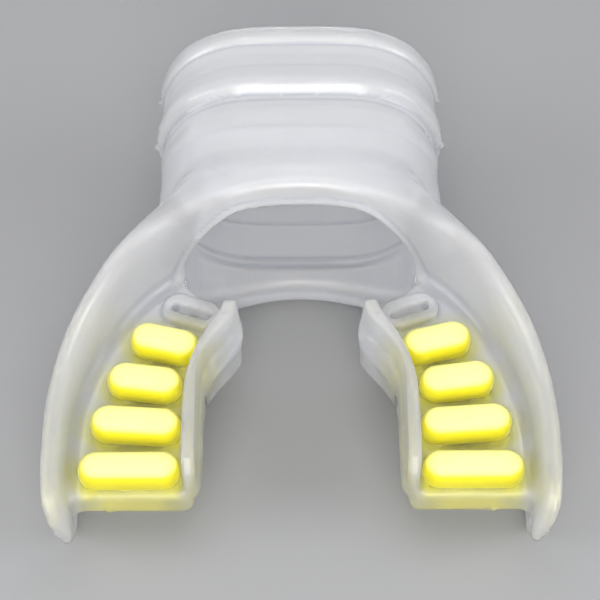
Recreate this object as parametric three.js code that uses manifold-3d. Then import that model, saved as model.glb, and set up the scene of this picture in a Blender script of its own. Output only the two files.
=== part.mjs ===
// Regulator mouthpiece in soft moulded silicone: an oval socket tube, a curved
// flange with two wings, a bite platform and a tongue wall on each side, and
// eight soft bite pads plugged through slots in the platforms.
//
// Millimetres. The model is drawn level (x right, y towards the socket tube,
// z up, y = 0 where the airway opens into the mouth) and then tipped to the
// pose in which it rests on a table: on the lower rim, at the flange and near
// the wings' rear ends.
import * as THREE from "three";
import { mergeVertices } from "three/addons/utils/BufferGeometryUtils.js";
import Module from "manifold-3d";

// ---- driving dimensions ---------------------------------------------------
const TUBE_LENGTH = 26.9; // y of the tube's open end
const BEAD = -0.05; // beads, from the outline of the open end
const PLAIN = -0.7; // plain tube
const GROOVE = -0.4; // floor of the tie groove
const BORE = -2.75; // socket
const STOP = -3.05; // bore beyond the step where the spigot stops
const STOP_Y = 10.2;
const ARCH_A = 27.85; // half width of the dental arch, middle of the web
const ARCH_B = 30.9; // depth of the arch, middle of the web
const ARCH_Y = -31.0; // y of the arch ellipse's centre
const WEB = 1.9; // thickness of the flange and wings
const RIM = 2.2; // thickness of the bead along their rim
const RIM_EDGE = 1.1; // flat left on the edge of that bead
const PLATE = 2.0; // half thickness of the bite platform
const LEAN = 0.08; // outward lean of the tongue wall above the platform
const PLATE_REAR = -38.1; // y of the platform's rear face
const PLATE_SWEEP = 57; // degrees of the arch that the platform follows
const WALL_FACE = 11.6; // x of the platform's inner edge at the rear
const CORNER = 2.9; // radius of the platform's inner rear corner
const GAP = 0.3; // gap between a pad and the body
const PAD_TOP = 4.9; // top of a pad
const PAD_LOW = 3.8; // underside of a pad
const NECK_W = 1.8; // width of a pad's neck
const NECK_SHORT = 4; // by how much the neck is shorter than its pad
const SOFT = 0.8; // bevel round a pad's face
const DEEP = 15; // half height of a cutter that goes right through

// Rim of the flange and wings along y: [y, top, bottom, flare of the top rim].
const RIM_LINE = [
  [0.0, 12.7, -12.5, 0.6], [-2.4, 12.9, -12.5, 0.7], [-4.5, 12.95, -12.4, 0.8], [-5.65, 13.0, -12.2, 0.9],
  [-8.0, 12.7, -11.65, 1.0], [-10.2, 12.3, -11.0, 1.1], [-12.4, 11.5, -10.45, 1.2],
  [-14.8, 10.75, -10.0, 1.2], [-17.4, 10.1, -9.6, 1.25], [-19.8, 9.5, -9.4, 1.25],
  [-25.9, 8.3, -8.8, 1.35], [-31.0, 7.95, -8.45, 1.35], [-35.0, 7.7, -8.15, 1.35],
  [-37.3, 7.35, -7.5, 1.35], [-39.0, 7.1, -6.3, 1.35], [-40.4, 6.5, -4.5, 1.3],
  [-41.8, 5.4, -2.2, 1.2], [-43.0, 2.0, -0.2, 0.6],
];
// Quarter outline of the tube's open end, from its top to its side: [x, z].
const END = [
  [0, 12.55], [4, 12.5], [7, 12.35], [9.2, 12], [11, 11.4], [12.7, 10.6], [14.2, 9.6],
  [15.7, 8.2], [17.1, 6.25], [18.2, 4.1], [18.95, 2], [19.25, 0],
];
const END_HEIGHT = END[0][1];
const END_WIDTH = END.at(-1)[0];
// Right half of the airway's opening into the mouth: [x, z].
const MOUTH = [
  [0, 9.05], [3, 9.15], [5.6, 9.3], [7.4, 9.35], [9.3, 8.8], [11.5, 7.3], [13.4, 5.1],
  [14.5, 2.8], [15.1, 0.5], [15.1, -1.6], [14.5, -3.6], [13, -5.4], [10.6, -6.7], [7, -7.5], [0, -7.8],
];
// Tongue wall in plan, right side: faces towards the tongue and the teeth.
const WALL_IN = [
  [7.25, -13.7], [7.3, -14.8], [8.3, -16.4], [9.6, -18.1], [10.6, -19.5], [11.4, -21.0],
  [11.8, -22.6], [11.9, -24.5], [11.85, -28.0], [11.8, -32.0], [11.75, -36.0], [11.75, -39.0],
];
const WALL_OUT = [
  [8.6, -13.5], [9.2, -14.9], [10.2, -16.3], [11.1, -17.9], [11.9, -19.7], [12.5, -21.6],
  [12.95, -23.4], [13.2, -25.6], [13.3, -28.5], [13.3, -32.0], [13.3, -36.0], [13.3, -39.0],
];
// The same wall from the side: upper and lower edges, [y, z].
const WALL_TOP = [
  [-13.0, 5.9], [-13.4, 7.0], [-14.1, 7.6], [-14.9, 7.45], [-15.8, 7.0], [-18.5, 6.9], [-22.0, 7.2],
  [-26.0, 7.4], [-33.6, 7.4], [-35.4, 6.9], [-36.9, 5.4], [-37.8, 3.4], [-38.1, 1.5],
];
const WALL_LOW = [
  [-13.0, -5.4], [-13.7, -6.3], [-15.0, -6.5], [-24.0, -6.6], [-29.0, -6.4], [-31.5, -5.7],
  [-33.2, -4.4], [-34.4, -2.6], [-35.0, -1.0],
];
// Bite pads, right side, front to back: centre x, y, length, width, degrees.
const PADS = [
  [16.6, -17.6, 8.6, 4.4, 14],
  [18.75, -23.15, 9.1, 4.4, 8],
  [19.55, -29.0, 10.8, 4.4, 4],
  [20.0, -35.0, 11.9, 4.25, 0],
];
// Slotted boss at the front of each platform: centre x, y, length, width, degrees.
const BOSS = [13.6, -12.4, 7.4, 4.2, 20];
const BOSS_TOP = 3.0;
const BOSS_SLOT = [13.6, -12.6, 5.1, 1.2, 20];

// ---- solids ---------------------------------------------------------------
const wasm = await Module();
wasm.setup();

function solid(geometry) {
  let g = geometry.index ? geometry.toNonIndexed() : geometry.clone();
  g.deleteAttribute("normal");
  g.deleteAttribute("uv");
  g = mergeVertices(g, 1e-4);
  return new wasm.Manifold(
    new wasm.Mesh({
      numProp: 3,
      vertProperties: new Float32Array(g.attributes.position.array),
      triVerts: new Uint32Array(g.index.array),
    }),
  );
}

function shapeOf(points) {
  const pts = points.map(([a, b]) => new THREE.Vector2(a, b));
  if (THREE.ShapeUtils.isClockWise(pts)) pts.reverse();
  return new THREE.Shape(pts);
}

// Plan outline raised along z.
function prismZ(points, z0, z1) {
  const g = new THREE.ExtrudeGeometry(shapeOf(points), { depth: z1 - z0, bevelEnabled: false });
  return solid(g.translate(0, 0, z0));
}

// Side outline in (y, z) carried along x.
function prismX(points, x0, x1) {
  const g = new THREE.ExtrudeGeometry(shapeOf(points), { depth: x1 - x0, bevelEnabled: false });
  g.translate(0, 0, x0);
  const turn = new THREE.Matrix4().makeBasis(
    new THREE.Vector3(0, 1, 0),
    new THREE.Vector3(0, 0, 1),
    new THREE.Vector3(1, 0, 0),
  );
  return solid(g.applyMatrix4(turn));
}

// Smooth line through plan points.
function smooth(points, n) {
  return new THREE.SplineCurve(points.map(([a, b]) => new THREE.Vector2(a, b)))
    .getSpacedPoints(n)
    .map((p) => [p.x, p.y]);
}

// The loop's points on evenly turned rays from its middle, after smoothing.
function rays(loop, count = 56) {
  const corners = loop.map(([a, b]) => new THREE.Vector3(a, b, 0));
  const line = new THREE.CatmullRomCurve3(corners, true, "catmullrom", 0.5);
  const fine = line.getSpacedPoints(480);
  const out = [];
  for (let i = 0; i < count; i++) {
    const t = (2 * Math.PI * (i + 0.5)) / count,
      c = Math.cos(t),
      s = Math.sin(t);
    for (let k = 0; k + 1 < fine.length; k++) {
      const p = fine[k],
        q = fine[k + 1],
        u = p.y * c - p.x * s,
        v = q.y * c - q.x * s;
      if (u * v > 0 || u === v || p.x * c + p.y * s < 0) continue;
      const f = u / (u - v);
      out.push([p.x + (q.x - p.x) * f, p.y + (q.y - p.y) * f]);
      break;
    }
  }
  return out;
}

// The ring moved outwards by d.
function grow(ring, d) {
  return ring.map(([x, z], i) => {
    const a = ring[(i + ring.length - 1) % ring.length],
      b = ring[(i + 1) % ring.length],
      l = Math.hypot(b[0] - a[0], b[1] - a[1]);
    return [x + (d * (b[1] - a[1])) / l, z - (d * (b[0] - a[0])) / l];
  });
}

// Sections [y, ring] skinned into one solid.
function loft(sections) {
  const count = sections[0][1].length,
    pos = [];
  for (const [y, ring] of sections) for (const [x, z] of ring) pos.push(x, y, z);
  const first = pos.length / 3;
  pos.push(0, sections[0][0], 0, 0, sections[sections.length - 1][0], 0);
  const idx = [];
  for (let k = 0; k + 1 < sections.length; k++)
    for (let i = 0; i < count; i++) {
      const j = (i + 1) % count,
        p = k * count,
        q = (k + 1) * count;
      idx.push(p + i, q + i, p + j, p + j, q + i, q + j);
    }
  const top = (sections.length - 1) * count;
  for (let i = 0; i < count; i++) {
    const j = (i + 1) % count;
    idx.push(first, i, j, first + 1, top + j, top + i);
  }
  const g = new THREE.BufferGeometry();
  g.setAttribute("position", new THREE.Float32BufferAttribute(pos, 3));
  g.setIndex(idx);
  return solid(g);
}

// Stadium outline centred on x, y, its long side turned by deg.
function stadium(x, y, length, width, deg) {
  const r = width / 2,
    h = length / 2 - r,
    t = THREE.MathUtils.degToRad(deg),
    out = [];
  for (let i = 0; i <= 7; i++) {
    const a = -Math.PI / 2 + (Math.PI * i) / 7;
    out.push([h + r * Math.cos(a), r * Math.sin(a)]);
  }
  for (let i = 0; i <= 7; i++) {
    const a = Math.PI / 2 + (Math.PI * i) / 7;
    out.push([-h + r * Math.cos(a), r * Math.sin(a)]);
  }
  return out.map(([u, v]) => [
    x + u * Math.cos(t) - v * Math.sin(t),
    y + u * Math.sin(t) + v * Math.cos(t),
  ]);
}

const both = (s) => s.add(s.mirror([1, 0, 0]));

// ---- flange and wings -----------------------------------------------------
const lerp = (a, b, t) => a + (b - a) * t;

// Values of the rim line at y.
function rimAt(y) {
  for (let i = 0; i + 1 < RIM_LINE.length; i++) {
    const a = RIM_LINE[i],
      b = RIM_LINE[i + 1];
    if (y >= b[0]) {
      const t = Math.min(1, Math.max(0, (a[0] - y) / (a[0] - b[0])));
      return [1, 2, 3].map((k) => lerp(a[k], b[k], t));
    }
  }
  return RIM_LINE.at(-1).slice(1);
}

// Middle of the web in plan, from the right wing's rear tip round to the left one's.
const webRight = [
  [27.12, -43.0, 1, -0.1], [27.3, -41.8, 1, -0.1], [27.47, -40.4, 1, -0.1], [27.62, -39.0, 1, -0.05],
  [27.75, -37.3, 1, -0.03], [27.82, -35.0, 1, 0],
];
for (let i = 0; i <= 26; i++) {
  const t = (Math.PI / 2) * (i / 26);
  const normal = new THREE.Vector2(Math.cos(t) / ARCH_A, Math.sin(t) / ARCH_B).normalize();
  webRight.push([ARCH_A * Math.cos(t), ARCH_Y + ARCH_B * Math.sin(t), normal.x, normal.y]);
}
const webLine = webRight.concat(webRight.slice(0, -1).reverse().map(([x, y, nx, ny]) => [-x, y, -nx, ny]));

// Closed wall that follows the web line between its lower and upper rims,
// flared outwards above the platform and thicker along the rim. Each level is
// [share of the way from the platform's plane to the rim, thickness].
const LEVELS = [
  [-1, RIM_EDGE], [-0.94, RIM], [-0.8, RIM], [-0.65, WEB], [0, WEB],
  [0.3, WEB], [0.55, WEB], [0.72, WEB], [0.82, RIM], [0.95, RIM], [1, RIM_EDGE],
];
function bandWall() {
  const pos = [];
  const m = LEVELS.length;
  for (const [x, y, nx, ny] of webLine) {
    const [top, low, flare] = rimAt(y);
    for (const face of [1, -1])
      for (const [v, thick] of LEVELS) {
        const z = v > 0 ? v * top : -v * low;
        const power = y > -12 ? 3 : 2; // the flare starts nearer the rim at the front
        const d = (face * thick) / 2 + (v > 0 ? flare * v ** power : 0);
        pos.push(x + nx * d, y + ny * d, z);
      }
  }
  const idx = [];
  const at = (i, face, j) => (i * 2 + face) * m + j;
  const quad = (a, b, c, d) => idx.push(a, b, c, a, c, d);
  const last = webLine.length - 1;
  for (let i = 0; i < last; i++) {
    for (let j = 0; j + 1 < m; j++) {
      quad(at(i, 0, j), at(i + 1, 0, j), at(i + 1, 0, j + 1), at(i, 0, j + 1));
      quad(at(i, 1, j), at(i, 1, j + 1), at(i + 1, 1, j + 1), at(i + 1, 1, j));
    }
    quad(at(i, 0, m - 1), at(i + 1, 0, m - 1), at(i + 1, 1, m - 1), at(i, 1, m - 1));
    quad(at(i, 0, 0), at(i, 1, 0), at(i + 1, 1, 0), at(i + 1, 0, 0));
  }
  for (let j = 0; j + 1 < m; j++) {
    quad(at(0, 0, j), at(0, 0, j + 1), at(0, 1, j + 1), at(0, 1, j));
    quad(at(last, 0, j), at(last, 1, j), at(last, 1, j + 1), at(last, 0, j + 1));
  }
  const g = new THREE.BufferGeometry();
  g.setAttribute("position", new THREE.Float32BufferAttribute(pos, 3));
  g.setIndex(idx);
  return solid(g);
}
const flange = bandWall();

// ---- socket tube with its root fillet ------------------------------------
const turn = (quarter) =>
  quarter
    .map(([x, z]) => [x, -z])
    .concat(quarter.slice(0, -1).reverse(), quarter.slice(1).map(([x, z]) => [-x, z]))
    .concat(quarter.slice(1, -1).reverse().map(([x, z]) => [-x, -z]));
const oval = rays(turn(END));
const mouth = rays(MOUTH.slice().reverse().concat(MOUTH.slice(1, -1).map(([x, z]) => [-x, z])));
const stretch = (w, h) => oval.map(([x, z]) => [(x * w) / END_WIDTH, (z * h) / END_HEIGHT]);
const blend = (a, b, t) => a.map(([x, z], i) => [lerp(x, b[i][0], t), lerp(z, b[i][1], t)]);
const tubeOuter = loft([
  [-14.0, stretch(23.6, 9.0)], [-10.0, stretch(23.0, 10.4)], [-6.0, stretch(22.0, 11.5)],
  [-3.0, stretch(21.1, 12.0)], [0.0, stretch(20.3, 12.3)], [2.0, stretch(19.7, 12.2)], [4.0, stretch(19.2, 12.1)],
  [6.5, stretch(18.85, 11.95)], [9.0, grow(oval, PLAIN)], [12.0, grow(oval, PLAIN + 0.05)],
  [12.8, grow(oval, PLAIN + 0.2)], [13.7, grow(oval, PLAIN + 0.05)], [14.6, grow(oval, PLAIN - 0.2)],
  [15.4, grow(oval, PLAIN - 0.1)], [16.2, grow(oval, BEAD + 0.2)], [17.0, grow(oval, BEAD + 0.25)],
  [18.2, grow(oval, BEAD + 0.1)], [20.0, grow(oval, GROOVE + 0.1)], [22.0, grow(oval, GROOVE)],
  [23.9, grow(oval, GROOVE)], [24.8, grow(oval, BEAD + 0.05)], [26.3, grow(oval, BEAD + 0.05)],
  [TUBE_LENGTH, grow(oval, BEAD - 0.4)],
]);
const mouthSpace = [];
for (let i = 0; i <= 44; i++) {
  const t = (Math.PI * i) / 44;
  mouthSpace.push([ARCH_A * Math.cos(t), ARCH_Y + ARCH_B * Math.sin(t)]);
}
mouthSpace.push([-ARCH_A, -60], [ARCH_A, -60]);
const tube = tubeOuter.subtract(prismZ(mouthSpace, -DEEP, DEEP));
const stopped = grow(oval, STOP),
  socket = grow(oval, BORE);
const airway = loft([
  [-6.5, mouth], [1.2, mouth], [2.6, blend(mouth, stopped, 0.5)], [4.4, stopped],
  [STOP_Y - 0.3, stopped], [STOP_Y + 0.3, socket], [TUBE_LENGTH - 0.8, socket],
  [TUBE_LENGTH + 0.4, grow(oval, BORE + 0.45)],
]);

// ---- bite platforms and tongue walls --------------------------------------
const archMid = [];
for (let i = 0; i <= 20; i++) {
  const t = THREE.MathUtils.degToRad(PLATE_SWEEP * (i / 20));
  archMid.push([ARCH_A * Math.cos(t), ARCH_Y + ARCH_B * Math.sin(t)]);
}
const wallMid = WALL_IN.map(([x, y], i) => [(x + WALL_OUT[i][0]) / 2, (y + WALL_OUT[i][1]) / 2]);
const plate = prismZ(
  [[12.6, PLATE_REAR], [26.2, PLATE_REAR], [27.3, -37.5], [27.8, -36.0]].concat(
    archMid,
    [[14.9, -7.4], [13.6, -8.8], [12.0, -10.1], [10.2, -11.2], [8.9, -12.2]],
    smooth(wallMid, 20).filter(([, y]) => y > -38),
  ),
  -PLATE,
  PLATE,
);
const wallPlan = smooth(WALL_IN, 26).concat(smooth(WALL_OUT, 26).reverse());
const wall = prismZ(wallPlan, 0, 12)
  .warp((v) => {
    v[0] += LEAN * v[2];
  })
  .add(prismZ(wallPlan, -12, 0))
  .intersect(prismX(WALL_TOP.concat(WALL_LOW.slice().reverse()), 0, 40));
const boss = prismZ(stadium(...BOSS), -BOSS_TOP, BOSS_TOP);
// Outline that rounds the inner rear corner of the platform and wall.
const trim = [[0, 10], [0, -30], [WALL_FACE, -30]];
for (let i = 0; i <= 8; i++) {
  const t = Math.PI + (Math.PI / 2) * (i / 8);
  trim.push([WALL_FACE + CORNER + CORNER * Math.cos(t), PLATE_REAR + CORNER + CORNER * Math.sin(t)]);
}
trim.push([40, PLATE_REAR], [40, 10]);
let side = plate.add(wall).intersect(prismZ(trim, -DEEP, DEEP)).add(boss);
side = side.subtract(prismZ(stadium(...BOSS_SLOT), -DEEP, DEEP));
for (const [x, y, length, , deg] of PADS)
  side = side.subtract(
    prismZ(stadium(x, y, length - NECK_SHORT + 2 * GAP, NECK_W + 2 * GAP, deg), -DEEP, DEEP),
  );

const body = flange.add(tube).add(both(side)).subtract(airway);

// ---- bite pads --------------------------------------------------------------
// Stadium with a bevelled face, from just above the platform up to top.
function pillow([x, y, length, width, deg], top) {
  const low = PLATE + GAP;
  const face = shapeOf(stadium(x, y, length - 2 * SOFT, width - 2 * SOFT, deg));
  const crown = new THREE.ExtrudeGeometry(face, {
    depth: 0.4,
    bevelEnabled: true,
    bevelThickness: SOFT,
    bevelSize: SOFT,
    bevelSegments: 2,
  });
  crown.translate(0, 0, top - SOFT - 0.4);
  return solid(crown)
    .add(prismZ(stadium(x, y, length, width, deg), low, top - SOFT))
    .intersect(prismZ([[0, 0], [60, 0], [60, -60], [0, -60]], low, 10));
}

// Upper pillow, neck through the platform's slot, and lower pillow in one piece.
function pad(spec) {
  const [x, y, length, , deg] = spec;
  return pillow(spec, PAD_TOP)
    .add(pillow(spec, PAD_LOW).mirror([0, 0, 1]))
    .add(prismZ(stadium(x, y, length - NECK_SHORT, NECK_W, deg), -PLATE - GAP - 0.2, PLATE + GAP + 0.2));
}

// ---- the assembly -----------------------------------------------------------
const silicone = new THREE.MeshStandardMaterial({ color: 0xd3d7dc, roughness: 0.45, metalness: 0 });
const yellow = new THREE.MeshStandardMaterial({ color: 0xefe94a, roughness: 0.5, metalness: 0 });

function meshOf(name, manifold, material) {
  const m = manifold.getMesh();
  const g = new THREE.BufferGeometry();
  const p = new Float32Array(m.numVert * 3);
  for (let i = 0; i < m.numVert; i++)
    p.set(m.vertProperties.subarray(i * m.numProp, i * m.numProp + 3), i * 3);
  g.setAttribute("position", new THREE.BufferAttribute(p, 3));
  g.setIndex(new THREE.BufferAttribute(new Uint32Array(m.triVerts), 1));
  g.computeVertexNormals();
  const mesh = new THREE.Mesh(g, material);
  mesh.name = name;
  return mesh;
}

const level = new THREE.Group();
level.name = "mouthpiece_level";
level.add(meshOf("mouthpiece_body", body, silicone));
PADS.forEach((spec, i) => {
  const right = pad(spec);
  level.add(meshOf("right_bite_pad_" + (i + 1), right, yellow));
  level.add(meshOf("left_bite_pad_" + (i + 1), right.mirror([1, 0, 0]), yellow));
});

// Resting pose: the line that touches the lower rim at the flange and near the
// wings' rear ends becomes level.
const REST_FRONT = [-4.5, -12.4];
const REST_REAR = [-35.0, -8.15];
const pitch = Math.atan2(REST_REAR[1] - REST_FRONT[1], REST_FRONT[0] - REST_REAR[0]);
level.rotation.x = pitch;
level.updateMatrixWorld(true);
const box = new THREE.Box3().setFromObject(level, true);
level.position.set(-(box.min.x + box.max.x) / 2, -(box.min.y + box.max.y) / 2, -box.min.z);

const group = new THREE.Group();
group.name = "regulator_mouthpiece";
group.add(level);
group.updateMatrixWorld(true);
export default group;
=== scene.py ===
"""Soft silicone regulator mouthpiece with eight yellow bite pads, on a plain pale table."""
import math

import bpy
import numpy as np
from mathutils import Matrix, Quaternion, Vector


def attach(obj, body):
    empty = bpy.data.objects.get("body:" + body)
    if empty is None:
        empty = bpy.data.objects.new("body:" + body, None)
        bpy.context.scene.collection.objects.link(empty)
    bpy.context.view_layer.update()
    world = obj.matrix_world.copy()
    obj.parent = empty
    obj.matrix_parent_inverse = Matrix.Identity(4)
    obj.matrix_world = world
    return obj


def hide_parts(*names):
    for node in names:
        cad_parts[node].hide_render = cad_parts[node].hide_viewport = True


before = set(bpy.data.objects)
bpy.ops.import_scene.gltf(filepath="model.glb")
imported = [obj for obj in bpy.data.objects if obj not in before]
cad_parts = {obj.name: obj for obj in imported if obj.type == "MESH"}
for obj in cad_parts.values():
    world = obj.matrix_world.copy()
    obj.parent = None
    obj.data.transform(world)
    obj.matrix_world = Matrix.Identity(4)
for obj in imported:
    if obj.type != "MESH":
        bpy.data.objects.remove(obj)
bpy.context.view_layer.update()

# ---------------------------------------------------------------------------
# Frames. Shapes are drawn level, in millimetres: x across the arch, y towards
# the socket tube, z up, y = 0 where the airway opens. The CAD model is that
# shape tipped to its resting pose, so to_row does the same.
# ---------------------------------------------------------------------------
REST_FRONT, REST_REAR = (-4.5, -12.4), (-35.0, -8.15)    # (y, z) where the CAD shape touches the table
PITCH = math.atan2(REST_REAR[1] - REST_FRONT[1], REST_FRONT[0] - REST_REAR[0])
SHIFT = np.array([0.0, 7.3505, 12.9635])                 # to the row's origin, after tipping
TURN = np.array([
    [1.0, 0.0, 0.0],
    [0.0, math.cos(PITCH), -math.sin(PITCH)],
    [0.0, math.sin(PITCH), math.cos(PITCH)],
])


def to_row(p):
    """Level millimetres to the row's metres."""
    return (np.asarray(p, float) @ TURN.T + SHIFT) / 1000.0


# ---------------------------------------------------------------------------
# Distance fields
# ---------------------------------------------------------------------------
def smin(a, b, k):
    """The smaller of two distances, blended over a width k."""
    h = np.maximum(k - np.abs(a - b), 0.0) / k
    return np.minimum(a, b) - h * h * k * 0.25


def smax(a, b, k):
    """The larger of two distances, blended over a width k."""
    return -smin(-a, -b, k)


def smoothstep(t):
    t = np.clip(t, 0.0, 1.0)
    return t * t * (3.0 - 2.0 * t)


def spline(points, n):
    """Points along a smooth line through the given ones, n to a span."""
    p = np.array(points, float)
    q = np.vstack([2 * p[0] - p[1], p, 2 * p[-1] - p[-2]])
    out = []
    for i in range(len(p) - 1):
        a, b, c, d = q[i:i + 4]
        t = np.linspace(0, 1, n, endpoint=False)[:, None]
        out.append(0.5 * ((2 * b) + (c - a) * t + (2 * a - 5 * b + 4 * c - d) * t ** 2
                          + (3 * b - a - 3 * c + d) * t ** 3))
    return np.vstack(out + [p[-1:]])


def stadium(x, y, cx, cy, length, width, deg):
    """Signed distance to a round-ended slot shape in plan, its long side turned by deg."""
    t = math.radians(deg)
    u = (x - cx) * math.cos(t) + (y - cy) * math.sin(t)
    v = -(x - cx) * math.sin(t) + (y - cy) * math.cos(t)
    return np.hypot(np.maximum(np.abs(u) - (length - width) / 2, 0), v) - width / 2


class Plan:
    """Signed distance to a closed outline (negative inside), looked up on a fine grid."""

    def __init__(self, outline, lo, hi, step=0.2):
        self.lo, self.step = np.array(lo, float), step
        u = np.arange(lo[0], hi[0] + step, step)
        v = np.arange(lo[1], hi[1] + step, step)
        U, V = np.meshgrid(u, v, indexing="ij")
        best = np.full(U.shape, np.inf)
        inside = np.zeros(U.shape, bool)
        pts = np.asarray(outline, float)
        for (ax, ay), (bx, by) in zip(pts, np.roll(pts, -1, 0)):
            dx, dy = bx - ax, by - ay
            square = dx * dx + dy * dy
            if square < 1e-12:
                continue
            t = np.clip(((U - ax) * dx + (V - ay) * dy) / square, 0, 1)
            best = np.minimum(best, (U - ax - t * dx) ** 2 + (V - ay - t * dy) ** 2)
            if abs(dy) > 1e-12:
                inside ^= ((ay > V) != (by > V)) & (U < ax + (V - ay) * dx / dy)
        self.grid = np.sqrt(best) * np.where(inside, -1.0, 1.0)

    def __call__(self, u, v):
        fu = np.clip((u - self.lo[0]) / self.step, 0, self.grid.shape[0] - 1.001)
        fv = np.clip((v - self.lo[1]) / self.step, 0, self.grid.shape[1] - 1.001)
        i, j = fu.astype(int), fv.astype(int)
        a, b = fu - i, fv - j
        g = self.grid
        return ((g[i, j] * (1 - a) + g[i + 1, j] * a) * (1 - b)
                + (g[i, j + 1] * (1 - a) + g[i + 1, j + 1] * a) * b)


# ---------------------------------------------------------------------------
# Flange and wings: middle line in plan, rims from the side
# ---------------------------------------------------------------------------
ARCH_A, ARCH_B, ARCH_Y = 27.85, 30.9, -31.0      # half width, depth and centre of the arch
WEB_THICK = 1.45                                 # below the platform


def arch_points(end_deg, n):
    """Points on the arch from its right side towards the front."""
    turns = np.linspace(0, math.radians(end_deg), n)
    return [(ARCH_A * math.cos(t), ARCH_Y + ARCH_B * math.sin(t)) for t in turns]


wing_end = [(ARCH_A - 1.3, -60.0), (ARCH_A - 0.85, -44.0), (ARCH_A - 0.4, -40.5), (ARCH_A - 0.02, -36.0)]
half_arch = wing_end + arch_points(90, 60)
ARCH = Plan(half_arch + [(-x, y) for x, y in reversed(half_arch[:-1])], (-3, -50), (35, 32))

TOP_RIM = [
    (4.0, 12.7), (0.8, 12.7), (-2.4, 12.9), (-5.65, 13.0), (-7.8, 12.8), (-10.2, 12.3), (-12.4, 11.5),
    (-14.8, 10.75), (-17.4, 10.1), (-19.8, 9.5), (-22.2, 8.95), (-25.9, 8.3), (-29.8, 8.0),
    (-33.8, 7.8), (-38.0, 7.3), (-40.2, 6.7), (-41.6, 5.7), (-42.5, 4.1), (-43.0, 2.0),
]
LOW_RIM = [
    (4.0, -12.0), (0.8, -12.0), (-2.4, -11.85), (-5.65, -11.5), (-10.2, -10.85), (-14.8, -10.2),
    (-19.8, -9.6), (-25.9, -9.0), (-31.0, -8.7), (-35.0, -8.4), (-37.3, -7.8), (-39.0, -6.6),
    (-40.4, -4.7), (-41.8, -2.5), (-42.9, 0.0),
]
RIM_Y, RIM_Z = np.array(TOP_RIM[::-1]).T
SIDE = Plan(np.vstack([spline(TOP_RIM, 6), spline(LOW_RIM, 6)[::-1]]), (-47, -16), (6, 16))

# ---------------------------------------------------------------------------
# Tongue walls and bite platforms
# ---------------------------------------------------------------------------
WALL_IN = [
    (7.25, -13.7), (7.3, -14.8), (8.3, -16.4), (9.6, -18.1), (10.6, -19.5), (11.4, -21.0),
    (11.8, -22.6), (11.9, -24.5), (11.85, -28.0), (11.8, -32.0), (11.75, -36.0), (11.75, -39.0),
]
WALL_OUT = [
    (8.6, -13.5), (9.2, -14.9), (10.2, -16.3), (11.1, -17.9), (11.9, -19.7), (12.5, -21.6),
    (12.95, -23.4), (13.2, -25.6), (13.3, -28.5), (13.3, -32.0), (13.3, -36.0), (13.3, -39.0),
]
WALL_TOP = [
    (-13.0, 5.9), (-13.4, 7.0), (-14.1, 7.6), (-14.9, 7.45), (-15.8, 7.0), (-18.5, 6.9), (-22.0, 7.2),
    (-26.0, 7.4), (-33.6, 7.4), (-35.4, 6.9), (-36.9, 5.4), (-37.8, 3.4), (-38.1, 1.5),
]
WALL_LOW = [
    (-13.0, -5.4), (-13.7, -6.3), (-15.0, -6.5), (-24.0, -6.6), (-29.0, -6.4), (-31.5, -5.7),
    (-33.2, -4.4), (-34.4, -2.6), (-35.0, -1.0),
]
WALL = Plan(np.vstack([spline(WALL_IN, 6), spline(WALL_OUT, 6)[::-1]]), (0, -42), (22, -9))
WALL_SIDE = Plan(np.vstack([WALL_TOP, WALL_LOW[::-1]]), (-42, -12), (-9, 12))
WALL_LEAN = 0.08                                 # outwards, above the platform
WALL_TAPER = 0.28                                # taken off each face below it

PLATE_HALF = 2.0                                 # half the platform's thickness
PLATE_REAR = -38.1
PLATE_FRONT = [(14.9, -7.4), (13.6, -8.8), (12.0, -10.1), (10.2, -11.2), (8.9, -12.2)]
wall_middle = [((a[0] + b[0]) / 2, (a[1] + b[1]) / 2) for a, b in zip(WALL_IN[:-1], WALL_OUT[:-1])]
PLATE = Plan(np.vstack([
    [(12.6, PLATE_REAR), (26.2, PLATE_REAR), (27.3, -37.5), (27.8, -36.0)],
    arch_points(57, 30), spline(PLATE_FRONT, 5), spline(wall_middle, 4),
]), (4, -42), (32, -2))
CORNER, CORNER_R = (14.5, -35.2), 2.9            # plan rounding of the platform's inner rear corner

BOSS = (13.6, -12.4, 7.4, 4.2, 20.0)             # centre x, y, length, width, degrees
BOSS_SLOT = (13.6, -12.6, 5.1, 1.05, 20.0)
BOSS_TOP = 3.0

# ---------------------------------------------------------------------------
# Bite pads: centre x, y, length, width, degrees; front to back, right side
# ---------------------------------------------------------------------------
PADS = [
    (16.6, -17.6, 8.6, 4.4, 14.0),
    (18.75, -23.15, 9.1, 4.4, 8.0),
    (19.55, -29.0, 10.8, 4.4, 4.0),
    (20.0, -35.0, 11.9, 4.25, 0.0),
]
PAD_TOP, PAD_LOW = 4.75, 3.7                     # heights of the faces' edges, from the platform's middle
PAD_CROWN = 0.14                                 # rise of a face from its edge to its middle
NECK_WIDTH = 1.8
NECK_SHORT = 4.0                                 # by how much the neck is shorter than its pad
NECK_PLAY = 0.1                                  # by how much its slot is larger

# ---------------------------------------------------------------------------
# Socket tube and airway
# ---------------------------------------------------------------------------
END = [
    (-4.0, 12.5), (0.0, 12.55), (4.0, 12.5), (7.0, 12.35), (9.2, 12.0), (11.0, 11.4), (12.7, 10.6),
    (14.2, 9.6), (15.7, 8.2), (17.1, 6.25), (18.2, 4.1), (18.95, 2.0), (19.25, 0.0),
]
MOUTH_LINE = [
    (-3.0, 9.1), (0.0, 9.05), (3.0, 9.15), (5.6, 9.3), (7.4, 9.35), (9.3, 8.8), (11.5, 7.3), (13.4, 5.1),
    (14.5, 2.8), (15.1, 0.5), (15.1, -1.6), (14.5, -3.6), (13.0, -5.4), (10.6, -6.7), (7.0, -7.5),
    (0.0, -7.8), (-3.0, -7.8),
]


def right_of(points):
    """The smooth line through the points, where x >= 0."""
    line = spline(points, 6)
    return line[line[:, 0] >= 0]


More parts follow.
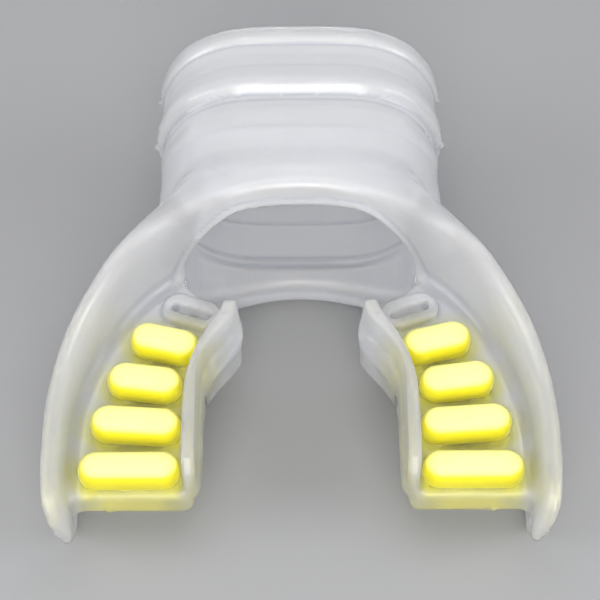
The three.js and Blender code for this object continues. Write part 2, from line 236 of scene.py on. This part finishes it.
quad = right_of(END)
oval_line = [quad, (quad * [1, -1])[::-1][1:], (quad * [-1, -1])[1:], (quad * [-1, 1])[::-1][1:-1]]
OVAL = Plan(np.vstack(oval_line), (-3, -17), (33, 17))
mouth_half = right_of(MOUTH_LINE)
MOUTH = Plan(np.vstack([mouth_half, (mouth_half * [-1, 1])[::-1][1:-1]]), (-3, -17), (33, 17))

TUBE_LENGTH = 26.9
INSET = 0.75                                     # of the plain tube, from the outline of its end
# (y, height above the plain tube): a soft ripple, the collar, the tie groove and the end bead
TUBE_PROFILE = [
    (-20, .4), (3.0, .34), (8.5, .07), (10.0, .02), (11.5, .12), (12.8, .24), (13.6, .12), (14.5, -.16),
    (15.4, -.1), (15.9, .45), (16.3, .9), (16.9, 1.0), (17.6, .98), (18.6, .8), (20.0, .5), (22.0, .32),
    (23.9, .34), (24.3, .6), (24.8, .78), (25.6, .8), (26.4, .74), (30, .7),
]
# (y, depth below the plain tube)
BORE_PROFILE = [(-30, 2.9), (3.4, 2.9), (4.4, 2.35), (9.9, 2.3), (10.5, 2.0), (26.0, 2.0), (30, 1.7)]
TUBE_Y, TUBE_H = np.array(TUBE_PROFILE).T
BORE_Y, BORE_D = np.array(BORE_PROFILE).T

NUBS = [(19.25, 24.4, 0.0), (19.45, 16.4, 0.0), (22.5, -37.85, -1.2)]    # left by the mould
NUB_RADIUS = 0.35


# ---------------------------------------------------------------------------
# The pieces as distance fields, for x >= 0
# ---------------------------------------------------------------------------
def web_field(x, y, z):
    """Flange and wings, flared out towards a soft thick rim.

    Comes with the distances from the web's middle and from its inner face.
    """
    side = SIDE(y, z)
    lift = np.clip(z / np.interp(y, RIM_Y, RIM_Z), 0, 1.1)
    flare = np.interp(y, [-30, -12, 0], [1.35, 1.2, 0.6]) * lift ** np.interp(y, [-20, -2], [2, 4])
    thick = WEB_THICK + 0.4 * smoothstep((z + 2.5) / 5.0) + 0.2 * np.exp(-((side + 1.2) / 1.4) ** 2)
    across = ARCH(x, y) - flare
    return smax(np.abs(across) - thick / 2, side, 1.6), across, across + thick / 2


def shell_field(x, y, z):
    """Flange, wings and socket tube, with the airway through them."""
    web, across, inner = web_field(x, y, z)
    ring = OVAL(x, z) + INSET
    saddle = smoothstep((6.5 - y) / 5.0) * smoothstep((z - 7.0) / 4.0)
    tube = smax(ring - np.interp(y, TUBE_Y, TUBE_H) - saddle, y - TUBE_LENGTH, 0.5)
    tube = smax(tube, -across, 0.3)
    # the tube's root has a broad fillet at the sides and a tight one above and below the opening
    tall = np.maximum(smoothstep((z - 6.0) / 5.0), smoothstep((-z - 6.0) / 5.0))
    shell = smin(web, tube, 8.6 - 6.1 * smoothstep((15.0 - x) / 6.0) * tall)
    shell = smax(shell, -inner, 0.5)
    shell = np.where(y < 8.0, smax(smax(shell, z - 12.9, 1.0), -z - 12.5, 0.6), shell)
    # soft lip round the opening, fuller along its lower edge
    mouth = MOUTH(x, z)
    low = np.clip((1.0 - z) / 4.0, 0, 1)
    lip_radius = 0.55 + 0.5 * low
    lip = np.hypot(mouth - lip_radius, inner - (0.3 + 0.75 * low)) - lip_radius
    shell = smin(shell, lip, 0.5)
    # the airway changes from the opening's outline to the bore's
    bore = ring + np.interp(y, BORE_Y, BORE_D)
    mix = smoothstep((y - 0.9) / np.where(z < 0, 2.0, 4.0))
    airway = mouth * (1 - mix) + bore * mix
    return np.where(y > -9.0, smax(shell, -airway, 0.7), shell)


def bite_field(x, y, z):
    """Platform, tongue wall and boss."""
    plate = smax(PLATE(x, y), np.abs(z) - PLATE_HALF, 1.0)
    upright = x - WALL_LEAN * np.maximum(z, 0.0)
    wall = smax(WALL(upright, y) + WALL_TAPER * smoothstep(0.2 - z / 3.0), WALL_SIDE(y, z), 0.6)
    bite = smin(plate, wall, 1.3)
    corner = np.hypot(np.maximum(CORNER[0] - x, 0), np.maximum(CORNER[1] - y, 0)) - CORNER_R
    bite = np.where(y < -30.0, smax(bite, corner, 0.5), bite)
    boss = smax(stadium(x, y, *BOSS), np.abs(z) - BOSS_TOP, 0.45)
    return smin(bite, boss, 0.4)


def body_field(x, y, z):
    """The whole silicone body."""
    body = smin(shell_field(x, y, z), bite_field(x, y, z), 1.6)
    body = smax(body, -stadium(x, y, *BOSS_SLOT), 0.25)
    for px, py, length, _, deg in PADS:
        hole = stadium(x, y, px, py, length - NECK_SHORT + NECK_PLAY, NECK_WIDTH + NECK_PLAY, deg)
        body = smax(body, -hole, 0.2)
    for nx, ny, nz in NUBS:
        nub = np.sqrt((x - nx) ** 2 + ((y - ny) / 1.1) ** 2 + ((z - nz) / 0.9) ** 2) - NUB_RADIUS
        body = smin(body, nub, 0.5)
    return body


def pad_field(spec):
    """The field of one pad: an upper and a lower pillow on a neck."""
    px, py, length, width, deg = spec

    def field(x, y, z):
        plan = stadium(x, y, px, py, length, width, deg)
        from_edge = np.clip(-plan / (width / 2), 0, 1)
        face = np.where(z > 0, PAD_TOP, PAD_LOW) + PAD_CROWN * np.sqrt(from_edge)
        height = np.abs(z)
        pillow = smax(smax(plan, height - face, 1.7), PLATE_HALF + 0.02 - height, 0.4)
        neck = smax(stadium(x, y, px, py, length - NECK_SHORT, NECK_WIDTH, deg), height - 3.0, 0.3)
        return smin(pillow, neck, 0.3)

    return field


def mirrored(field):
    return lambda x, y, z: field(np.abs(x), y, z)


# ---------------------------------------------------------------------------
# Field to mesh
# ---------------------------------------------------------------------------
def nets(values, lo, h):
    """Surface nets: one vertex in each cell the surface crosses, one quad for each grid edge it crosses."""
    s = values < 0
    corners = [(i, j, k) for i in (0, 1) for j in (0, 1) for k in (0, 1)]
    count = sum(s[i:s.shape[0] - 1 + i, j:s.shape[1] - 1 + j, k:s.shape[2] - 1 + k].astype(np.int8)
                for i, j, k in corners)
    crossed = (count > 0) & (count < 8)
    cell = np.nonzero(crossed)
    index = np.full(crossed.shape, -1, np.int64)
    index[crossed] = np.arange(len(cell[0]))
    base = np.stack(cell, 1)
    total, hits = np.zeros((len(base), 3)), np.zeros(len(base))
    for a in corners:
        for b in corners:
            if sum(b) - sum(a) == 1 and all(q >= p for p, q in zip(a, b)):
                fa = values[base[:, 0] + a[0], base[:, 1] + a[1], base[:, 2] + a[2]]
                fb = values[base[:, 0] + b[0], base[:, 1] + b[1], base[:, 2] + b[2]]
                m = (fa < 0) != (fb < 0)
                t = (fa[m] / (fa[m] - fb[m]))[:, None]
                total[m] += np.array(a) + (np.array(b) - np.array(a)) * t
                hits[m] += 1
    verts = np.array(lo) + h * (base + total / hits[:, None])
    quads = []
    for axis in range(3):
        u, v = (axis + 1) % 3, (axis + 2) % 3
        n = values.shape[axis]
        near, far = [slice(1, -1)] * 3, [slice(1, -1)] * 3
        near[axis], far[axis] = slice(0, n - 1), slice(1, n)
        first, second = s[tuple(near)], s[tuple(far)]
        i = np.stack(np.nonzero(first != second), 1)
        inside_first = first[tuple(i.T)]
        g = i.copy()
        g[:, u] += 1
        g[:, v] += 1
        du, dv = np.zeros(3, int), np.zeros(3, int)
        du[u], dv[v] = 1, 1
        q = np.stack([index[tuple((g - back).T)] for back in (du + dv, dv, 0, du)], 1)
        q[~inside_first] = q[~inside_first][:, ::-1]
        quads.append(q)
    return verts, np.vstack(quads)


def gradient(field, p, e=0.03):
    g = np.empty_like(p)
    for k in range(3):
        d = np.zeros(3)
        d[k] = e
        a, b = p + d, p - d
        g[:, k] = (field(a[:, 0], a[:, 1], a[:, 2]) - field(b[:, 0], b[:, 1], b[:, 2])) / (2 * e)
    return g


def polish(field, verts, h, rounds=3):
    """Moves the vertices onto the field's zero surface, and returns them with their normals."""
    p = verts.copy()
    for _ in range(rounds):
        f = field(p[:, 0], p[:, 1], p[:, 2])
        g = gradient(field, p)
        step = f[:, None] * g / np.maximum((g * g).sum(1), 0.2)[:, None]
        size = np.linalg.norm(step, axis=1, keepdims=True)
        p -= step * np.minimum(1, 0.5 * h / np.maximum(size, 1e-9))
    g = gradient(field, p, 0.06)
    return p, g / np.maximum(np.linalg.norm(g, axis=1, keepdims=True), 1e-9)


def bend(field, p, e):
    """How sharply the surface turns at each point, in 1/mm: above 0 on outer edges, below 0 in creases."""
    total = -6 * field(p[:, 0], p[:, 1], p[:, 2])
    for k in range(3):
        d = np.zeros(3)
        d[k] = e
        for q in (p + d, p - d):
            total += field(q[:, 0], q[:, 1], q[:, 2])
    return total / e ** 2


def build(name, verts, quads, normals, material):
    """A smooth mesh object in the row frame."""
    mesh = bpy.data.meshes.new(name)
    mesh.from_pydata(to_row(verts).tolist(), [], quads.tolist())
    mesh.update()
    mesh.polygons.foreach_set("use_smooth", np.ones(len(mesh.polygons), bool))
    mesh.normals_split_custom_set_from_vertices((normals @ TURN.T).tolist())
    obj = bpy.data.objects.new(name, mesh)
    bpy.context.scene.collection.objects.link(obj)
    mesh.materials.append(material)
    return obj


def point_value(obj, name, values):
    """Stores a value at each vertex, for the material to read."""
    obj.data.attributes.new(name, "FLOAT", "POINT").data.foreach_set("value", values)


# ---------------------------------------------------------------------------
# Materials
# ---------------------------------------------------------------------------
def new_material(name):
    mat = bpy.data.materials.new(name)
    mat.use_nodes = True
    nt = mat.node_tree
    return mat, nt, nt.nodes["Principled BSDF"]


def node(nt, kind, **values):
    """A new node; each value goes to the input of that name, or else to the node's own setting."""
    n = nt.nodes.new(kind)
    for key, value in values.items():
        if key in n.inputs.keys():
            n.inputs[key].default_value = value
        else:
            setattr(n, key, value)
    return n


def settings(bsdf, values):
    for key, value in values.items():
        bsdf.inputs[key].default_value = value


def ranged(nt, value, source, target=(0.0, 1.0), kind="LINEAR"):
    """The value, mapped from one range to another and kept inside it."""
    n = node(nt, "ShaderNodeMapRange", interpolation_type=kind)
    n.inputs["From Min"].default_value, n.inputs["From Max"].default_value = source
    n.inputs["To Min"].default_value, n.inputs["To Max"].default_value = target
    nt.links.new(value, n.inputs["Value"])
    return n.outputs["Result"]


def towards(nt, amount, shade):
    """A mix towards a fixed shade by the amount; its input A is left open."""
    n = node(nt, "ShaderNodeMix", data_type="RGBA")
    n.inputs["B"].default_value = (*shade, 1)
    nt.links.new(amount, n.inputs["Factor"])
    return n


def clouds(nt, scale, roughness, first, second):
    """Soft noise in the object's own space, and a tint that wanders between two colours with it."""
    space = nt.nodes.new("ShaderNodeTexCoord").outputs["Object"]
    cloud = node(nt, "ShaderNodeTexNoise", Scale=scale, Detail=3.0, Roughness=roughness)
    nt.links.new(space, cloud.inputs["Vector"])
    tint = nt.nodes.new("ShaderNodeValToRGB")
    for stop, position, colour in zip(tint.color_ramp.elements, (0.3, 0.7), (first, second)):
        stop.position, stop.color = position, (*colour, 1)
    nt.links.new(cloud.outputs["Fac"], tint.inputs["Fac"])
    return space, cloud.outputs["Fac"], tint.outputs["Color"]


def grain(nt, bsdf, space, scale, strength):
    """The mould's fine grain, as a bump."""
    fine = node(nt, "ShaderNodeTexNoise", Scale=scale, Detail=2.0, Roughness=0.6)
    nt.links.new(space, fine.inputs["Vector"])
    bump = node(nt, "ShaderNodeBump", Strength=strength, Distance=0.00008)
    nt.links.new(fine.outputs["Fac"], bump.inputs["Height"])
    nt.links.new(bump.outputs["Normal"], bsdf.inputs["Normal"])


def silicone():
    mat, nt, bsdf = new_material("translucent_silicone")
    space, cloud, colour = clouds(nt, 90.0, 0.55, (0.925, 0.94, 0.975), (0.95, 0.96, 0.98))
    # painted highlight on thin outer edges and painted shade in creases, put into the base colour
    edge = node(nt, "ShaderNodeAttribute", attribute_name="edge").outputs["Fac"]
    # painted light: the pads' yellow as it would show through and reflect in the milky rubber round them
    painted_pad_light = node(nt, "ShaderNodeAttribute", attribute_name="painted_pad_light").outputs["Fac"]
    changes = [
        # painted highlight: white on outer edges
        (ranged(nt, edge, (0.0, 1.0)), (1.0, 1.0, 1.0)),
        # painted shade: grey in creases
        (ranged(nt, edge, (0.0, -1.0)), (0.74, 0.76, 0.81)),
        # painted light: the pads' yellow seen through the rubber
        (painted_pad_light, (0.97, 0.93, 0.22)),
    ]
    for amount, shade in changes:
        change = towards(nt, amount, shade)
        nt.links.new(colour, change.inputs["A"])
        colour = change.outputs["Result"]
    nt.links.new(colour, bsdf.inputs["Base Color"])
    nt.links.new(ranged(nt, cloud, (0.0, 1.0), (0.2, 0.27)), bsdf.inputs["Roughness"])
    grain(nt, bsdf, space, 2600.0, 0.12)
    settings(bsdf, {
        "IOR": 1.41,
        "Transmission Weight": 0.82,
        "Subsurface Weight": 0.8,
        "Subsurface Radius": (0.004, 0.004, 0.0042),
        "Subsurface Scale": 1.0,
    })
    return mat


def yellow():
    mat, nt, bsdf = new_material("yellow_silicone")
    space, _, colour = clouds(nt, 160.0, 0.6, (0.48, 0.43, 0.007), (0.54, 0.49, 0.012))
    # painted highlight: the broad bite faces, turned up or down, are painted paler than the sides
    split = nt.nodes.new("ShaderNodeSeparateXYZ")
    nt.links.new(nt.nodes.new("ShaderNodeNewGeometry").outputs["Normal"], split.inputs["Vector"])
    flat = node(nt, "ShaderNodeMath", operation="ABSOLUTE")
    nt.links.new(split.outputs["Z"], flat.inputs[0])
    painted_face_sheen = ranged(nt, flat.outputs["Value"], (0.45, 0.98), (0.0, 0.7), "SMOOTHSTEP")
    # the pale tint of the painted sheen
    pale = towards(nt, painted_face_sheen, (0.86, 0.845, 0.33))
    nt.links.new(colour, pale.inputs["A"])
    nt.links.new(pale.outputs["Result"], bsdf.inputs["Base Color"])
    grain(nt, bsdf, space, 3000.0, 0.15)
    settings(bsdf, {
        "Roughness": 0.45,
        "IOR": 1.41,
        "Subsurface Weight": 0.4,
        "Subsurface Radius": (0.003, 0.003, 0.0006),
        "Subsurface Scale": 1.0,
        "Sheen Weight": 0.2,
        "Sheen Roughness": 0.4,
    })
    return mat


def table_paint():
    """Plain paint, paler far out, where less light reaches it, so that the floor darkens less there."""
    mat, nt, bsdf = new_material("table")
    reach = node(nt, "ShaderNodeVectorMath", operation="LENGTH")
    nt.links.new(nt.nodes.new("ShaderNodeNewGeometry").outputs["Position"], reach.inputs[0])
    far = ranged(nt, reach.outputs["Value"], (0.5, 1.15), kind="SMOOTHSTEP")
    paint = towards(nt, far, (0.6, 0.6, 0.61))
    paint.inputs["A"].default_value = (0.215, 0.217, 0.22, 1)
    nt.links.new(paint.outputs["Result"], bsdf.inputs["Base Color"])
    bsdf.inputs["Roughness"].default_value = 0.9
    return mat


# ---------------------------------------------------------------------------
# The pieces
# ---------------------------------------------------------------------------
BODY_STEP = 0.42
PAD_STEP = 0.28
PAD_LIGHT_REACH = 1.6                                 # how far a pad's painted yellow light reaches
PAD_LIGHT_STRENGTH = 0.85
PAD_LIGHT_HEIGHT = 3.5                                # it fades beyond this, above or below the platform's middle


def pads_painted_light(verts):
    """How much painted yellow light from the pads each point of the body takes on."""
    painted_pad_light = np.zeros(len(verts))
    for px, py, length, width, deg in PADS:
        beside = stadium(np.abs(verts[:, 0]), verts[:, 1], px, py, length, width, deg)
        away = np.hypot(np.maximum(beside, 0), np.maximum(np.abs(verts[:, 2]) - PAD_LIGHT_HEIGHT, 0))
        painted_pad_light = np.maximum(painted_pad_light, PAD_LIGHT_STRENGTH * np.exp(-(away / PAD_LIGHT_REACH) ** 2))
    return painted_pad_light


def make_body(material):
    xs = np.arange(0, 31.5 + BODY_STEP, BODY_STEP)
    ys = np.arange(-44.5, 28.4, BODY_STEP)
    zs = np.arange(-14.6, 15.0, BODY_STEP)
    right = body_field(xs[:, None, None], ys[None, :, None], zs[None, None, :])
    values = np.concatenate([right[:0:-1], right], 0)
    verts, quads = nets(values, (-xs[-1], ys[0], zs[0]), BODY_STEP)
    field = mirrored(body_field)
    verts, normals = polish(field, verts, BODY_STEP)
    body = build("mouthpiece_silicone", verts, quads, normals, material)
    point_value(body, "painted_pad_light", pads_painted_light(verts))
    point_value(body, "edge", np.clip(0.9 * bend(field, verts, 0.3), -1, 1))
    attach(body, "root")
    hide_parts("mouthpiece_body")
    return body


def make_pads(material):
    for number, spec in enumerate(PADS, 1):
        field = pad_field(spec)
        px, py, length = spec[:3]
        reach = length / 2 + 1.0
        xs = np.arange(px - reach, px + reach, PAD_STEP)
        ys = np.arange(py - 4.2, py + 4.2, PAD_STEP)
        zs = np.arange(-5.0, 5.8, PAD_STEP)
        values = field(xs[:, None, None], ys[None, :, None], zs[None, None, :])
        verts, quads = nets(values, (xs[0], ys[0], zs[0]), PAD_STEP)
        verts, normals = polish(field, verts, PAD_STEP)
        for side, order, flip in (("right", 1, [1, 1, 1]), ("left", -1, [-1, 1, 1])):
            pad = build(f"{side}_pad_{number}", verts * flip, quads[:, ::order], normals * flip, material)
            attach(pad, "root")
            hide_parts(f"{side}_bite_pad_{number}")


body = make_body(silicone())
make_pads(yellow())

# ---------------------------------------------------------------------------
# Table, light and camera
# ---------------------------------------------------------------------------
TABLE_HALF = 3.0                                 # metres
LIGHTS = [  # name, place, size, power, colour
    ("key_top", (0.0, 0.02, 0.68), 0.45, 1.5, (1.0, 0.98, 0.95)),
    ("front", (0.0, -0.6, 0.42), 0.45, 6.6, (1.0, 0.975, 0.92)),
    ("fill_left", (-0.6, -0.2, 0.3), 0.4, 3.8, (0.97, 0.98, 1.0)),
    ("fill_right", (0.6, -0.2, 0.3), 0.4, 3.8, (0.97, 0.98, 1.0)),
]
LIT_POINT = (0.0, 0.0, 0.01)
SKY, SKY_STRENGTH = (0.89, 0.91, 1.0, 1), 0.55
ELEVATION, DISTANCE, ROLL = 55.6, 200.0, -0.3    # degrees above the platforms' plane, mm, degrees
SEEN_POINT = np.array([-0.05, -9.0, 0.0])        # level millimetres, in the middle of the picture
SENSOR, LENS = 36.0, 94.38                       # mm


def show(name, data):
    obj = bpy.data.objects.new(name, data)
    bpy.context.scene.collection.objects.link(obj)
    return obj


def make_table(height):
    mesh = bpy.data.meshes.new("table")
    corners = [(x * TABLE_HALF, y * TABLE_HALF, height) for x, y in ((-1, -1), (1, -1), (1, 1), (-1, 1))]
    mesh.from_pydata(corners, [], [(0, 1, 2, 3)])
    mesh.materials.append(table_paint())
    show("table", mesh)


def make_lights():
    for name, place, size, power, colour in LIGHTS:
        light = bpy.data.lights.new(name, "AREA")
        light.shape, light.size, light.energy, light.color = "SQUARE", size, power, colour
        lamp = show(name, light)
        lamp.location = place
        lamp.rotation_euler = (Vector(LIT_POINT) - Vector(place)).to_track_quat("-Z", "Y").to_euler()
    world = bpy.data.worlds.new("world")
    bpy.context.scene.world = world
    world.use_nodes = True
    background = world.node_tree.nodes["Background"]
    background.inputs["Color"].default_value = SKY
    background.inputs["Strength"].default_value = SKY_STRENGTH


def make_camera():
    elevation = math.radians(ELEVATION)
    look = np.array([0, math.cos(elevation), -math.sin(elevation)])
    camera = bpy.data.cameras.new("camera")
    camera.sensor_width, camera.lens = SENSOR, LENS
    camera.clip_start, camera.clip_end = 0.01, 20
    eye = show("camera", camera)
    eye.location = Vector(to_row(SEEN_POINT - DISTANCE * look))
    facing = Vector(TURN @ look).to_track_quat("-Z", "Y")
    eye.rotation_euler = (facing @ Quaternion((0, 0, 1), math.radians(ROLL))).to_euler()
    bpy.context.scene.camera = eye
    bpy.context.scene.view_settings.view_transform = "Standard"


make_table(min(v.co.z for v in body.data.vertices))
make_lights()
make_camera()

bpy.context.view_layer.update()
